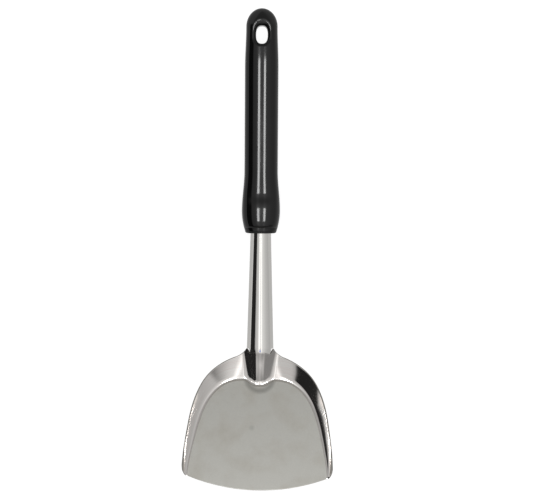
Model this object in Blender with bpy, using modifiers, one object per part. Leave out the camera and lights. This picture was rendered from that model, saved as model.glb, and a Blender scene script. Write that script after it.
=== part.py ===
"""Stainless steel wok turner with a black moulded handle.

The tool lies face up on a table: +Z is up, +Y runs to the hanging hole and the
blade's front edge looks to -Y. Every piece is drawn along the shank, with the
middle of the neck, where blade and shank meet, at zero. The whole tool is then
tipped until it rests on the heel of its blade and the flare of its handle.
"""

import bmesh
import bpy
import math
import numpy as np
from mathutils import Matrix, Vector

# Blade: one pressed sheet, a flat plate with a wall round its back and sides
SHEET = 0.0012
EDGE_THICKNESS_SHARE = 0.5
BLADE_HALF_WIDTH = 0.0549
PLATE_LENGTH = 0.0820
FRONT_RADIUS = 0.1405
WALL_HEIGHT = 0.0113
CORNER_WALL_HEIGHT = 0.0031
WALL_FILLET = 0.0050
WALL_FILLET_LIMIT_SHARE = 0.6
WALL_BOW = 0.0005
BLADE_ANGLE = math.radians(24.0)
BLADE_SKEW = math.radians(-1.05)

# Heel and rim of the wall, from beside the hood round to the front corner:
# each pair is a share of the half width and a share of the plate's length
HEEL_SHARES = ((0.282, 0.020), (0.419, -0.004), (0.563, -0.068), (0.676, -0.166),
               (0.761, -0.293), (0.836, -0.472), (0.891, -0.640), (0.931, -0.805))
RIM_SHARES = ((0.306, 0.201), (0.501, 0.140), (0.696, 0.030), (0.818, -0.110),
              (0.898, -0.271), (0.951, -0.471), (0.985, -0.652), (0.998, -0.795))
HEIGHT_SHARES = (1.0, 0.817, 0.634, 0.524, 0.354, 0.183, 0.085, 0.0)
CORNER_HEEL_SHARE = 0.940
CORNER_SETBACK = 0.0042
CORNER_BEND = 2.2
BACK_COLUMNS = 5
SIDE_COLUMNS = 13

# Hood: the ridge pressed into the back wall, which covers the end of the shank
HOOD_RUN = 0.0180
HOOD_ANGLE = math.radians(21.0)
HOOD_HALF_WIDTH = 0.0096
HOOD_DEPTH = 0.0079
NOSE_HALF_WIDTH = 0.0072
NOSE_DEPTH = 0.0040
NOSE_BLEND = 0.0022
FLANK_BLEND = 0.0036
HOOD_FOOT_LIMIT_SHARE = 0.85
NECK_TIP_X = 0.0104
NECK_TIP_RISE = 0.0042
NECK_NOTCH_SHARE = 0.72
NECK_TIP_FALL_SHARE = 0.25
RIM_RISE_SHARE = 0.55
HEEL_DIP = 0.0016
HOOD_COLUMN_SHARES = (0.0, 0.17, 0.34, 0.5, 0.64, 0.76, 0.86, 0.94, 1.02, 1.1)
FOOT_COLUMN_SHARES = (0.21, 0.54)
WALL_ROW_SHARES = (0.0, 0.06, 0.12, 0.19, 0.27, 0.36, 0.46, 0.58, 0.71, 0.85, 1.0)

# Shank: a steel tube, round in the handle and flattened at the back by the blade
TUBE_WALL = 0.0009
TUBE_RADIUS = 0.0076
SHANK_LENGTH = 0.0888
SHANK_IN_HANDLE = 0.0700
NECK_HALF_WIDTH = 0.0100
NECK_FRONT_DEPTH = 0.0083
NECK_BACK_DEPTH = 0.0036
SPIGOT_STEP = 0.0017
SPIGOT_LENGTH = 0.0115
SPIGOT_END_HALF_WIDTH = 0.0063
SPIGOT_END_LOWERING = 0.0016
END_CAP_THICKNESS = 0.0010
TUBE_RING_SHARES = (1.0, 0.75, 0.5, 0.25, 0.0)

# Welds: a ground seam across the neck and a bead on each side behind the blade
SEAM_WIDTH = 0.0024
SEAM_THICKNESS = 0.0010
SEAM_HALF_WIDTH_SHARE = 0.86
BEAD_RADIUS = 0.0010
BEAD_START_SHARE = 0.12
BEAD_END_SHARE = 0.86
BEAD_ASIDE_SHARE = 0.7
BEAD_LOWERING_SHARE = 0.62
BEAD_FACETS = 2

# Handle: a moulded grip of oval section with a hanging hole
HANDLE_LENGTH = 0.1662
GRIP_HALF_WIDTH = 0.0124
SHOULDER_HALF_WIDTH = 0.0116
FLARE_HALF_WIDTH = 0.0139
MOUTH_HALF_WIDTH = 0.0117
HANDLE_THICKNESS_SHARE = 0.88
DOME_LENGTH = 0.0135
SHOULDER_LENGTH = 0.0300
FLARE_LENGTH = 0.0300
FLARE_SETBACK = 0.0165
MOUTH_ROUND = 0.0012
HOLE_WIDTH = 0.0086
HOLE_LENGTH = 0.0133
HOLE_SETBACK = 0.0130
HOLE_FLARE = 0.0024
HOLE_FLARE_DEPTH = 0.0045
PLUG_LENGTH = 0.0080

# Fits and facets
GAP = 0.0003
SEAM_GAP = 2.0 * GAP
MERGE = 0.00005
OVERRUN = 0.0040
RING_POINTS = 40
ARC_POINTS = 10
SHOULDER_POINTS = 4
MOUTH_POINTS = 5
ROUND_POINTS = 3
SHARP_ANGLE = math.radians(35.0)
TILT_LIMIT = math.radians(20.0)
TILT_STEPS = 50


def clear_scene():
    for item in list(bpy.data.objects):
        bpy.data.objects.remove(item, do_unlink=True)


def make_collection(name):
    group = bpy.data.collections.new(name)
    bpy.context.scene.collection.children.link(group)
    return group


def make_material(name, colour, roughness, metallic):
    material = bpy.data.materials.new(name)
    material.use_nodes = True
    shader = material.node_tree.nodes["Principled BSDF"]
    shader.inputs["Base Color"].default_value = (*colour, 1.0)
    shader.inputs["Roughness"].default_value = roughness
    shader.inputs["Metallic"].default_value = metallic
    return material


def add_object(name, mesh, group, material=None, parent=None):
    item = bpy.data.objects.new(name, mesh)
    group.objects.link(item)
    if material:
        mesh.materials.append(material)
    item.parent = parent
    return item


def add_cutter(name, mesh, group, parent):
    cutter = add_object(name, mesh, group, parent=parent)
    cutter.hide_render = True
    cutter.display_type = "WIRE"
    return cutter


def cut(item, cutter):
    step = item.modifiers.new(cutter.name, "BOOLEAN")
    step.operation = "DIFFERENCE"
    step.solver = "EXACT"
    step.object = cutter


def shade_round(mesh):
    mesh.shade_smooth()
    mesh.set_sharp_from_angle(angle=SHARP_ANGLE)


def smooth_max(first, second, blend):
    overlap = max(blend - abs(first - second), 0.0)
    return max(first, second) + overlap * overlap / (4.0 * blend)


def smooth_curve(points, share):
    """Point at a share of the way along a smooth curve through the points."""
    last = len(points) - 1
    place = min(share, 1.0) * last
    step = min(int(place), last - 1)
    t = place - step
    before = points[max(step - 1, 0)]
    start, end = points[step], points[step + 1]
    after = points[min(step + 2, last)]
    return tuple(
        0.5 * (2.0 * b + (c - a) * t + (2.0 * a - 5.0 * b + 4.0 * c - d) * t * t
               + (3.0 * b - a - 3.0 * c + d) * t ** 3)
        for a, b, c, d in zip(before, start, end, after))


def ring_mesh(name, rings, close_ends):
    """Skin rings of equal length, each an equal list of points, end to end."""
    mesh = bpy.data.meshes.new(name)
    shape = bmesh.new()
    rows = [[shape.verts.new(point) for point in ring] for ring in rings]
    count = len(rows[0])
    pairs = list(zip(rows, rows[1:]))
    if not close_ends:
        pairs.append((rows[-1], rows[0]))
    for upper, lower in pairs:
        for i in range(count):
            j = (i + 1) % count
            shape.faces.new((upper[i], upper[j], lower[j], lower[i]))
    if close_ends:
        shape.faces.new(rows[0])
        shape.faces.new(rows[-1])
    bmesh.ops.recalc_face_normals(shape, faces=shape.faces)
    shape.to_mesh(mesh)
    shape.free()
    shade_round(mesh)
    return mesh


def oval_ring(along, half_width, front, back, level=0.0):
    """Ring across the shank: a half oval in front of its level, another behind."""
    ring = []
    aside = sideways(along)
    for i in range(RING_POINTS):
        angle = math.tau * i / RING_POINTS
        depth = front if math.sin(angle) > 0.0 else back
        ring.append(Vector((aside + half_width * math.cos(angle), along,
                            level + depth * math.sin(angle))))
    return ring


def sideways(along):
    """Below the neck the shank's end bends aside with the skewed blade."""
    return -min(along, 0.0) * math.tan(BLADE_SKEW)


# Blade surface, in the blade's own frame: the plate is z = 0, the hood's nose is
# at zero and +Y runs back to the neck

def front_edge(x):
    return FRONT_RADIUS - math.sqrt(FRONT_RADIUS ** 2 - x * x) - PLATE_LENGTH


def wall_rise(run, span, height):
    """Height of the wall at a run from its heel: a round fillet, then slightly bowed up."""
    radius = min(WALL_FILLET, WALL_FILLET_LIMIT_SHARE * span)
    drop = height - WALL_BOW - radius
    slope = math.atan2(drop, span) + math.asin(radius / math.hypot(span, drop))
    foot = radius * math.sin(slope)
    straight = run - foot
    if run <= 0.0:
        return 0.0
    if straight < 0.0:
        return radius - math.sqrt(radius ** 2 - run ** 2)
    bow = WALL_BOW * (straight / (span - foot)) ** 2
    return radius * (1.0 - math.cos(slope)) + straight * math.tan(slope) + bow


def hood_section(y):
    """Half width and depth of the hood's oval, which narrows from the neck to the nose."""
    down = min(max(1.0 - y / HOOD_RUN, 0.0), 1.0)
    return (HOOD_HALF_WIDTH + (NOSE_HALF_WIDTH - HOOD_HALF_WIDTH) * down,
            HOOD_DEPTH + (NOSE_DEPTH - HOOD_DEPTH) * down)


def hood_drop(x, y):
    """How far the hood's oval has fallen at x below its crest, square to the shank."""
    half_width, depth = hood_section(y)
    limit = HOOD_FOOT_LIMIT_SHARE
    share = min(abs(x) / half_width, limit)
    root = math.sqrt(1.0 - share * share)
    beyond = max(abs(x) - limit * half_width, 0.0)
    return depth * (1.0 - root) + depth / half_width * share / root * beyond


def hood_height(x, y):
    steepness = BLADE_ANGLE + HOOD_ANGLE
    return y * math.tan(steepness) - hood_drop(x, y) * math.cos(HOOD_ANGLE) / math.cos(steepness)


def foot_blend(x, y):
    """Size of the fillet at the hood's foot: tight at the nose, wider along the flanks."""
    return NOSE_BLEND + (FLANK_BLEND - NOSE_BLEND) * min(abs(x) / hood_section(y)[0], 1.0) ** 2


HOOD_SIDE = HEEL_SHARES[0][0] * BLADE_HALF_WIDTH
HOOD_HEEL = HEEL_SHARES[0][1] * PLATE_LENGTH
HOOD_RIM = RIM_SHARES[0][1] * PLATE_LENGTH
RIM_BY_TIP = HOOD_RUN + RIM_RISE_SHARE * NECK_TIP_RISE


def rim_line(x):
    """Line of the back rim from one side of the hood to the other, without the hood."""
    share = max(x - NECK_TIP_X, 0.0) / (HOOD_SIDE - NECK_TIP_X)
    return RIM_BY_TIP + (HOOD_RIM - RIM_BY_TIP) * share


def neck_line(x):
    """Edge of the sheet: across the shank's front, up to a tip, then out to the rim."""
    notch = NECK_NOTCH_SHARE * NECK_TIP_X
    if x <= notch:
        return HOOD_RUN
    if x <= NECK_TIP_X:
        return HOOD_RUN + NECK_TIP_RISE * (x - notch) / (NECK_TIP_X - notch)
    beyond = (x - NECK_TIP_X) / (HOOD_SIDE - NECK_TIP_X)
    fall = min(beyond / NECK_TIP_FALL_SHARE, 1.0)
    return rim_line(x) + (HOOD_RUN + NECK_TIP_RISE - RIM_BY_TIP) * (1.0 - fall)


def heel_line(x):
    """Heel of the back wall, which dips round the hood's nose."""
    dip = (HEEL_DIP + HOOD_HEEL) * math.cos(0.5 * math.pi * min(x / HOOD_SIDE, 1.0)) ** 2
    return HOOD_HEEL - dip


def hood_surface(x, y):
    span = rim_line(x) - HOOD_HEEL
    wall = wall_rise(y - HOOD_HEEL, span, WALL_HEIGHT)
    return smooth_max(wall, hood_height(x, y), foot_blend(x, y))


def outline_point(shares, share):
    x_share, y_share = smooth_curve(shares, share)
    return x_share * BLADE_HALF_WIDTH, y_share * PLATE_LENGTH


def wall_height(share):
    height_shares = [(value,) for value in HEIGHT_SHARES]
    blend = smooth_curve(height_shares, share)[0]
    return CORNER_WALL_HEIGHT + (WALL_HEIGHT - CORNER_WALL_HEIGHT) * blend


def hood_places():
    """Places across the hood, and on from its foot to the plain wall."""
    foot = HOOD_COLUMN_SHARES[-1] * HOOD_HALF_WIDTH
    return ([HOOD_HALF_WIDTH * share for share in HOOD_COLUMN_SHARES]
            + [foot + (HOOD_SIDE - foot) * share for share in FOOT_COLUMN_SHARES])


def wall_columns():
    """Columns of points up the wall, from the middle of the hood to the front corner."""
    columns = []
    for x in hood_places():
        heel, rim = heel_line(x), neck_line(x)
        column = []
        for row in WALL_ROW_SHARES:
            y = heel + (rim - heel) * row
            column.append((x, y, hood_surface(x, y) if row else 0.0))
        columns.append(column)
    steps = BACK_COLUMNS + SIDE_COLUMNS
    for step in range(steps + 1):
        share = step / steps
        heel, rim = outline_point(HEEL_SHARES, share), outline_point(RIM_SHARES, share)
        height, span = wall_height(share), math.dist(heel, rim)
        columns.append([(heel[0] + (rim[0] - heel[0]) * row,
                         heel[1] + (rim[1] - heel[1]) * row,
                         wall_rise(span * row, span, height)) for row in WALL_ROW_SHARES])
    corner_x = CORNER_HEEL_SHARE * BLADE_HALF_WIDTH
    corner_y = front_edge(corner_x)
    span = math.hypot(BLADE_HALF_WIDTH - corner_x, CORNER_SETBACK)
    columns.append([(corner_x + (BLADE_HALF_WIDTH - corner_x) * row,
                     corner_y + CORNER_SETBACK * row ** CORNER_BEND,
                     wall_rise(span * row, span, CORNER_WALL_HEIGHT))
                    for row in WALL_ROW_SHARES])
    return columns


def plate_rows(heel_points):
    """Grid over half the plate, between its front edge and the heel of the wall."""
    across = len(hood_places()) + BACK_COLUMNS
    top, side = heel_points[:across + 1], heel_points[across:][::-1]
    deep = len(side) - 1
    corner_x = side[0][0]
    rows = []
    for j in range(deep + 1):
        v = j / deep
        left = Vector((0.0, -PLATE_LENGTH + (top[0][1] + PLATE_LENGTH) * v, 0.0))
        row = []
        for i in range(across + 1):
            u = i / across
            front_x = corner_x * top[i][0] / top[-1][0]
            front = Vector((front_x, front_edge(front_x), 0.0))
            middle = Vector((0.0, -PLATE_LENGTH, 0.0))
            corners = ((1 - u) * (1 - v) * middle + u * (1 - v) * Vector(side[0])
                       + (1 - u) * v * Vector(top[0]) + u * v * Vector(top[-1]))
            row.append((1 - v) * front + v * Vector(top[i])
                       + (1 - u) * left + u * Vector(side[j]) - corners)
        rows.append(row)
    return rows


def grid_faces(shape, rows):
    for lower, upper in zip(rows, rows[1:]):
        for i in range(len(lower) - 1):
            shape.faces.new((lower[i], lower[i + 1], upper[i + 1], upper[i]))


def make_blade(group, material, parent):
    columns = wall_columns()
    rows = plate_rows([column[0] for column in columns])
    neck = Vector((0.0, HOOD_RUN, hood_surface(0.0, HOOD_RUN)))
    shape = bmesh.new()
    wall = [[shape.verts.new(Vector(point) - neck) for point in column] for column in columns]
    plate = [[shape.verts.new(point - neck) for point in row] for row in rows]
    grid_faces(shape, wall)
    grid_faces(shape, plate)
    front = plate[0] + wall[-1]
    thin_places = [vert.co.copy() for vert in front]
    bmesh.ops.remove_doubles(shape, verts=shape.verts, dist=MERGE)
    bmesh.ops.recalc_face_normals(shape, faces=shape.faces)
    if sum(face.normal.z for face in shape.faces) < 0.0:
        bmesh.ops.reverse_faces(shape, faces=shape.faces)
    mesh = bpy.data.meshes.new("blade")
    shape.to_mesh(mesh)
    shape.free()
    blade = add_object("blade", mesh, group, material, parent)
    full = blade.vertex_groups.new(name="full_thickness")
    for vert in mesh.vertices:
        near = min((vert.co - place).length for place in thin_places)
        full.add([vert.index], 0.0 if near < MERGE else 1.0, "REPLACE")
    mirror = blade.modifiers.new("other_half", "MIRROR")
    mirror.use_clip = True
    mirror.merge_threshold = MERGE
    solid = blade.modifiers.new("sheet", "SOLIDIFY")
    solid.thickness = SHEET
    solid.offset = -1.0
    solid.use_even_offset = True
    solid.vertex_group = full.name
    solid.thickness_vertex_group = EDGE_THICKNESS_SHARE
    shade_round(mesh)
    blade.location = (0.0, 0.0, NECK_FRONT_DEPTH)
    blade.rotation_euler = (-BLADE_ANGLE, 0.0, BLADE_SKEW)
    return blade


# Shank, in the tool's frame along the shank

def shank_section(along):
    """Half width, front depth and back depth of the tube at a place along it."""
    share = min(max(along / SHANK_LENGTH, 0.0), 1.0)
    return (NECK_HALF_WIDTH + (TUBE_RADIUS - NECK_HALF_WIDTH) * share,
            NECK_FRONT_DEPTH + (TUBE_RADIUS - NECK_FRONT_DEPTH) * share,
            NECK_BACK_DEPTH + (TUBE_RADIUS - NECK_BACK_DEPTH) * share)


def spigot_section(share):
    """Section of the end that slides under the hood, at a share of its length."""
    half_width, front, back = shank_section(0.0)
    start = half_width - SPIGOT_STEP
    lowering = SPIGOT_END_LOWERING * share
    fall = SPIGOT_LENGTH * share * math.tan(HOOD_ANGLE)
    return (start + (SPIGOT_END_HALF_WIDTH - start) * share,
            front - SPIGOT_STEP - SHEET * (1.0 / math.cos(HOOD_ANGLE) - 1.0) - fall + lowering,
            back - lowering,
            -lowering)


def tube_rings(step_place, wall):
    """Rings down one skin of the tube: it steps in, where the sheet begins, at a place."""
    top = SHANK_LENGTH + SHANK_IN_HANDLE
    stations = [(top, *shank_section(top), 0.0)]
    for share in TUBE_RING_SHARES:
        along = step_place + (SHANK_LENGTH - step_place) * share
        stations.append((along, *shank_section(along), 0.0))
    stations.append((step_place, *spigot_section(0.0)))
    for share in TUBE_RING_SHARES[::-1]:
        stations.append((-SPIGOT_LENGTH * share, *spigot_section(share)))
    return [oval_ring(along, half_width - wall, front - wall, back - wall, level)
            for along, half_width, front, back, level in stations]


def make_shank(group, material, parent):
    outer = tube_rings(SEAM_WIDTH, 0.0)
    inner = tube_rings(SEAM_WIDTH + TUBE_WALL, TUBE_WALL)
    mesh = ring_mesh("shank_tube", outer + inner[::-1], close_ends=False)
    return add_object("shank_tube", mesh, group, material, parent)


def make_end_cap(group, material, parent):
    half_width, front, back, level = spigot_section(1.0)
    near = -SPIGOT_LENGTH - GAP
    far = near - END_CAP_THICKNESS
    lower = front - END_CAP_THICKNESS * math.tan(HOOD_ANGLE)
    rings = [oval_ring(near, half_width, front, back, level),
             oval_ring(far, half_width, lower, back, level)]
    mesh = ring_mesh("shank_end_cap", rings, close_ends=True)
    return add_object("shank_end_cap", mesh, group, material, parent)


def make_tube_plug(group, material, parent):
    radius = TUBE_RADIUS - TUBE_WALL - GAP
    top = SHANK_LENGTH + SHANK_IN_HANDLE
    rings = [oval_ring(top, radius, radius, radius),
             oval_ring(top - PLUG_LENGTH, radius, radius, radius)]
    mesh = ring_mesh("tube_plug", rings, close_ends=True)
    return add_object("tube_plug", mesh, group, material, parent)


def neck_edge(x):
    """Place along the shank of the sheet's edge at x, as the tilted blade puts it."""
    y = neck_line(x) - HOOD_RUN
    z = hood_surface(x, neck_line(x)) - hood_surface(0.0, HOOD_RUN)
    return y * math.cos(BLADE_ANGLE) + z * math.sin(BLADE_ANGLE)


def make_neck_weld(group, material, parent):
    """Seam that fills the step between the tube and the sheet, ground flush."""
    half_width, front, _ = shank_section(0.0)
    reach = math.asin(SEAM_HALF_WIDTH_SHARE)
    rows = []
    for side in (SEAM_WIDTH - GAP, 0.0):
        row = []
        for i in range(ARC_POINTS + 1):
            angle = reach * (2.0 * i / ARC_POINTS - 1.0)
            x = half_width * math.sin(angle)
            edge = neck_edge(abs(x)) + x * math.tan(BLADE_SKEW) + SEAM_GAP
            along = side if side else edge
            row.append(Vector((x, along, front * math.cos(angle))))
        rows.append(row)
    shape = bmesh.new()
    verts = [[shape.verts.new(point) for point in row] for row in rows]
    grid_faces(shape, verts)
    bmesh.ops.recalc_face_normals(shape, faces=shape.faces)
    if sum(face.normal.z for face in shape.faces) < 0.0:
        bmesh.ops.reverse_faces(shape, faces=shape.faces)
    mesh = bpy.data.meshes.new("neck_weld")
    shape.to_mesh(mesh)
    shape.free()
    weld = add_object("neck_weld", mesh, group, material, parent)
    solid = weld.modifiers.new("depth", "SOLIDIFY")
    solid.thickness = SEAM_THICKNESS
    solid.offset = -1.0
    return weld


def bake_curve(curve_item, group):
    """Turn a curve object into a welded mesh object of the same name and place."""
    bpy.context.view_layer.update()
    depsgraph = bpy.context.evaluated_depsgraph_get()
    mesh = bpy.data.meshes.new_from_object(curve_item.evaluated_get(depsgraph))
    name, parent = curve_item.name, curve_item.parent
    bpy.data.objects.remove(curve_item, do_unlink=True)
    shape = bmesh.new()
    shape.from_mesh(mesh)
    bmesh.ops.remove_doubles(shape, verts=shape.verts, dist=MERGE)
    shape.to_mesh(mesh)
    shape.free()
    shade_round(mesh)
    return add_object(name, mesh, group, parent=parent)


def make_back_weld(name, side, group, material, parent):
    """Straight bead in the corner between the spigot and the sheet's back."""
    curve = bpy.data.curves.new(name, "CURVE")
    curve.dimensions = "3D"
    curve.bevel_depth = BEAD_RADIUS
    curve.bevel_resolution = BEAD_FACETS
    curve.use_fill_caps = True
    spline = curve.splines.new("POLY")
    spline.points.add(1)
    for point, share in zip(spline.points, (BEAD_START_SHARE, BEAD_END_SHARE)):
        half_width, _, back, level = spigot_section(share)
        along = -SPIGOT_LENGTH * share
        x = sideways(along) + side * (half_width + GAP + BEAD_ASIDE_SHARE * BEAD_RADIUS)
        point.co = (x, along, level - BEAD_LOWERING_SHARE * back, 1.0)
    item = add_object(name, curve, group, parent=parent)
    weld = bake_curve(item, group)
    weld.data.materials.clear()
    weld.data.materials.append(material)
    return weld


# Handle, turned to an oval: its outline is drawn down from the hanging end

def handle_profile():
    """Half width at each distance from the hanging end down to the mouth."""
    points = []
    for i in range(ARC_POINTS + 1):
        angle = 0.5 * math.pi * i / ARC_POINTS
        points.append((SHOULDER_HALF_WIDTH * math.sin(angle),
                       DOME_LENGTH * (1.0 - math.cos(angle))))
    for i in range(1, SHOULDER_POINTS + 1):
        share = i / SHOULDER_POINTS
        points.append((SHOULDER_HALF_WIDTH + (GRIP_HALF_WIDTH - SHOULDER_HALF_WIDTH)
                       * math.sin(0.5 * math.pi * share),
                       DOME_LENGTH + SHOULDER_LENGTH * share))
    widest = HANDLE_LENGTH - FLARE_SETBACK
    for i in range(ARC_POINTS + 1):
        share = i / ARC_POINTS
        rise = 0.5 - 0.5 * math.cos(math.pi * share)
        points.append((GRIP_HALF_WIDTH + (FLARE_HALF_WIDTH - GRIP_HALF_WIDTH) * rise,
                       widest - FLARE_LENGTH * (1.0 - share)))
    run = FLARE_SETBACK - MOUTH_ROUND
    for i in range(1, MOUTH_POINTS + 1):
        share = i / MOUTH_POINTS
        points.append((FLARE_HALF_WIDTH - (FLARE_HALF_WIDTH - MOUTH_HALF_WIDTH) * share * share,
                       widest + run * share))
    for i in range(1, ROUND_POINTS + 1):
        angle = 0.5 * math.pi * i / ROUND_POINTS
        points.append((MOUTH_HALF_WIDTH - MOUTH_ROUND * (1.0 - math.cos(angle)),
                       HANDLE_LENGTH - MOUTH_ROUND + MOUTH_ROUND * math.sin(angle)))
    points.append((0.0, HANDLE_LENGTH))
    return points


def turned_mesh(name, profile, group):
    """Turn a profile round the shank's line: its first place is the far end."""
    mesh = bpy.data.meshes.new(name)
    far = SHANK_LENGTH + HANDLE_LENGTH
    verts = [(half_width, 0.0, far - along) for half_width, along in profile]
    mesh.from_pydata(verts, [(i, i + 1) for i in range(len(verts) - 1)], [])
    item = add_object(name, mesh, group)
    screw = item.modifiers.new("turn", "SCREW")
    screw.axis = "Z"
    screw.steps = RING_POINTS
    screw.render_steps = RING_POINTS
    screw.use_merge_vertices = True
    screw.merge_threshold = MERGE
    bpy.context.view_layer.update()
    depsgraph = bpy.context.evaluated_depsgraph_get()
    turned = bpy.data.meshes.new_from_object(item.evaluated_get(depsgraph))
    bpy.data.objects.remove(item, do_unlink=True)
    turned.transform(Matrix.Rotation(math.radians(-90.0), 4, "X"))
    return turned


def oblong_ring(half_width, half_length, middle, height):
    ring = []
    straight = half_length - half_width
    for i in range(RING_POINTS):
        angle = math.tau * (i + 0.5) / RING_POINTS
        end = straight if math.sin(angle) > 0.0 else -straight
        ring.append(Vector((half_width * math.cos(angle),
                            middle + end + half_width * math.sin(angle), height)))
    return ring


def make_hole_cutter(group, parent):
    """Oblong through hole that flares at both faces of the handle."""
    middle = SHANK_LENGTH + HANDLE_LENGTH - HOLE_SETBACK - 0.5 * HOLE_LENGTH
    face = SHOULDER_HALF_WIDTH * HANDLE_THICKNESS_SHARE
    flare_slope = HOLE_FLARE / HOLE_FLARE_DEPTH
    half_width, half_length = 0.5 * HOLE_WIDTH, 0.5 * HOLE_LENGTH
    outer = face + OVERRUN
    widening = HOLE_FLARE + OVERRUN * flare_slope
    inner = face - HOLE_FLARE_DEPTH
    rings = [oblong_ring(half_width + widening, half_length + widening, middle, outer),
             oblong_ring(half_width, half_length, middle, inner),
             oblong_ring(half_width, half_length, middle, -inner),
             oblong_ring(half_width + widening, half_length + widening, middle, -outer)]
    mesh = ring_mesh("hanging_hole_cutter", rings, close_ends=True)
    return add_cutter("hanging_hole_cutter", mesh, group, parent)


def make_bore_cutter(group, parent):
    radius = TUBE_RADIUS + GAP
    rings = [oval_ring(SHANK_LENGTH + SHANK_IN_HANDLE + GAP, radius, radius, radius),
             oval_ring(SHANK_LENGTH - OVERRUN, radius, radius, radius)]
    mesh = ring_mesh("shank_bore_cutter", rings, close_ends=True)
    return add_cutter("shank_bore_cutter", mesh, group, parent)


def make_handle(group, cutters, material, parent):
    mesh = turned_mesh("handle", handle_profile(), group)
    mesh.transform(Matrix.Diagonal((1.0, 1.0, HANDLE_THICKNESS_SHARE, 1.0)))
    shade_round(mesh)
    handle = add_object("handle", mesh, group, material, parent)
    cut(handle, make_bore_cutter(cutters, parent))
    cut(handle, make_hole_cutter(cutters, parent))
    return handle


def world_points(item):
    depsgraph = bpy.context.evaluated_depsgraph_get()
    shown = item.evaluated_get(depsgraph)
    mesh = shown.to_mesh()
    points = np.array([tuple(shown.matrix_world @ vert.co) for vert in mesh.vertices])
    shown.to_mesh_clear()
    return points


def lowest(points, tilt):
    return (points[:, 1] * math.sin(tilt) + points[:, 2] * math.cos(tilt)).min()


def lay_on_table(tool, pieces, blade, handle):
    """Tip the tool until blade and handle touch the same level, and centre it."""
    bpy.context.view_layer.update()
    blade_points, handle_points = world_points(blade), world_points(handle)
    low, high = -TILT_LIMIT, TILT_LIMIT
    for _ in range(TILT_STEPS):
        tilt = 0.5 * (low + high)
        if lowest(blade_points, tilt) > lowest(handle_points, tilt):
            low = tilt
        else:
            high = tilt
    tool.rotation_euler = (tilt, 0.0, 0.0)
    bpy.context.view_layer.update()
    points = np.vstack([world_points(piece) for piece in pieces])
    middle = 0.5 * (points.min(axis=0) + points.max(axis=0))
    tool.location = (-middle[0], -middle[1], -points[:, 2].min())
    bpy.context.view_layer.update()


def main():
    clear_scene()
    group = make_collection("wok_turner")
    cutters = make_collection("wok_turner_cutters")
    satin_steel = make_material("satin_stainless_steel", (0.56, 0.55, 0.53), 0.32, 1.0)
    bright_steel = make_material("polished_stainless_steel", (0.66, 0.65, 0.63), 0.08, 1.0)
    weld_steel = make_material("weld_steel", (0.50, 0.49, 0.48), 0.25, 1.0)
    black_resin = make_material("black_phenolic_resin", (0.012, 0.012, 0.012), 0.35, 0.0)
    grey_plug = make_material("grey_rubber", (0.10, 0.10, 0.10), 0.60, 0.0)
    tool = bpy.data.objects.new("tool_frame", None)
    group.objects.link(tool)
    blade = make_blade(group, satin_steel, tool)
    handle = make_handle(group, cutters, black_resin, tool)
    pieces = [
        blade,
        handle,
        make_shank(group, bright_steel, tool),
        make_end_cap(group, bright_steel, tool),
        make_neck_weld(group, weld_steel, tool),
        make_back_weld("back_weld_left", -1.0, group, weld_steel, tool),
        make_back_weld("back_weld_right", 1.0, group, weld_steel, tool),
        make_tube_plug(group, grey_plug, tool),
    ]
    lay_on_table(tool, pieces, blade, handle)


main()
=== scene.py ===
"""Looks of the wok turner: polished steel blade and shank, black moulded handle.

The visible pieces are drawn along the shank, in metres, with the middle of the
neck at zero and the shank running to +Y. They are then put where the solids lie.
"""
import math

import bmesh
import bpy
import numpy as np
from mathutils import Matrix, Vector


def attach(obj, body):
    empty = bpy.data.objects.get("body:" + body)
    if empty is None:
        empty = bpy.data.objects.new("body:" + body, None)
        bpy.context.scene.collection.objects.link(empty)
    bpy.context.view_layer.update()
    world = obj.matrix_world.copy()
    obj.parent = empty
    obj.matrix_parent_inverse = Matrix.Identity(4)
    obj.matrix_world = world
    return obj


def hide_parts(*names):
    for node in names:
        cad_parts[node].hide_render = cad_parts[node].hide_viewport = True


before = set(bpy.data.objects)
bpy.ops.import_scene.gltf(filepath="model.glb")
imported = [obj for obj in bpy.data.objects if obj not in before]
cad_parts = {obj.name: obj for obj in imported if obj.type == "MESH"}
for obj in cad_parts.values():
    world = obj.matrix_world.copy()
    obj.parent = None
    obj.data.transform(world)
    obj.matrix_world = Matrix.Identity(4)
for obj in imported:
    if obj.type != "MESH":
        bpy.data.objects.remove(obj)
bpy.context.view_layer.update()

MM = 0.001

# Where the tool lies on the table
TILT = math.radians(4.199)
TOOL_PLACE = Vector((1.508, -76.656, 4.636)) * MM

# Blade
SHEET = 1.2 * MM
EDGE_SHARE = 0.5
EDGE_TAPER = 4.0 * MM
RIM_ROUND = 0.25 * MM
PLATE_LENGTH = 82.0 * MM
FRONT_RADIUS = 140.5 * MM
WALL_FILLET = 5.0 * MM
WALL_FILLET_LIMIT_SHARE = 0.6
WALL_BOW = 0.5 * MM
CORNER_SETBACK = 4.2 * MM
CORNER_BEND = 2.2
CORNER_START_SHARE = 0.86
BLADE_ANGLE = math.radians(24.0)
BLADE_SKEW = math.radians(-1.05)
HEEL_POINTS = ((0.0, 1.9), (8.0, 1.9), (15.5, 1.6), (23.0, -0.3), (30.9, -5.6), (37.1, -13.6),
               (41.8, -24.0), (45.9, -38.7), (48.9, -52.5), (51.1, -66.0), (51.6, -72.2))
RIM_POINTS = ((0.0, 18.9), (9.0, 18.3), (16.8, 16.5), (27.5, 11.5), (38.2, 2.5), (44.9, -9.0),
              (49.3, -22.2), (52.2, -38.6), (54.1, -53.5), (54.8, -64.6), (54.9, -68.3))
WALL_HEIGHTS = (11.3, 11.2, 10.8, 9.8, 8.3, 7.4, 6.0, 4.6, 3.8, 3.1, 3.1)
SHEET_COLUMNS = 150
DENSE_SHARE = 0.4
PLATE_ROWS = 24
WALL_ROWS = 44
EDGE_ROW_SHARE = 0.006

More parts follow.
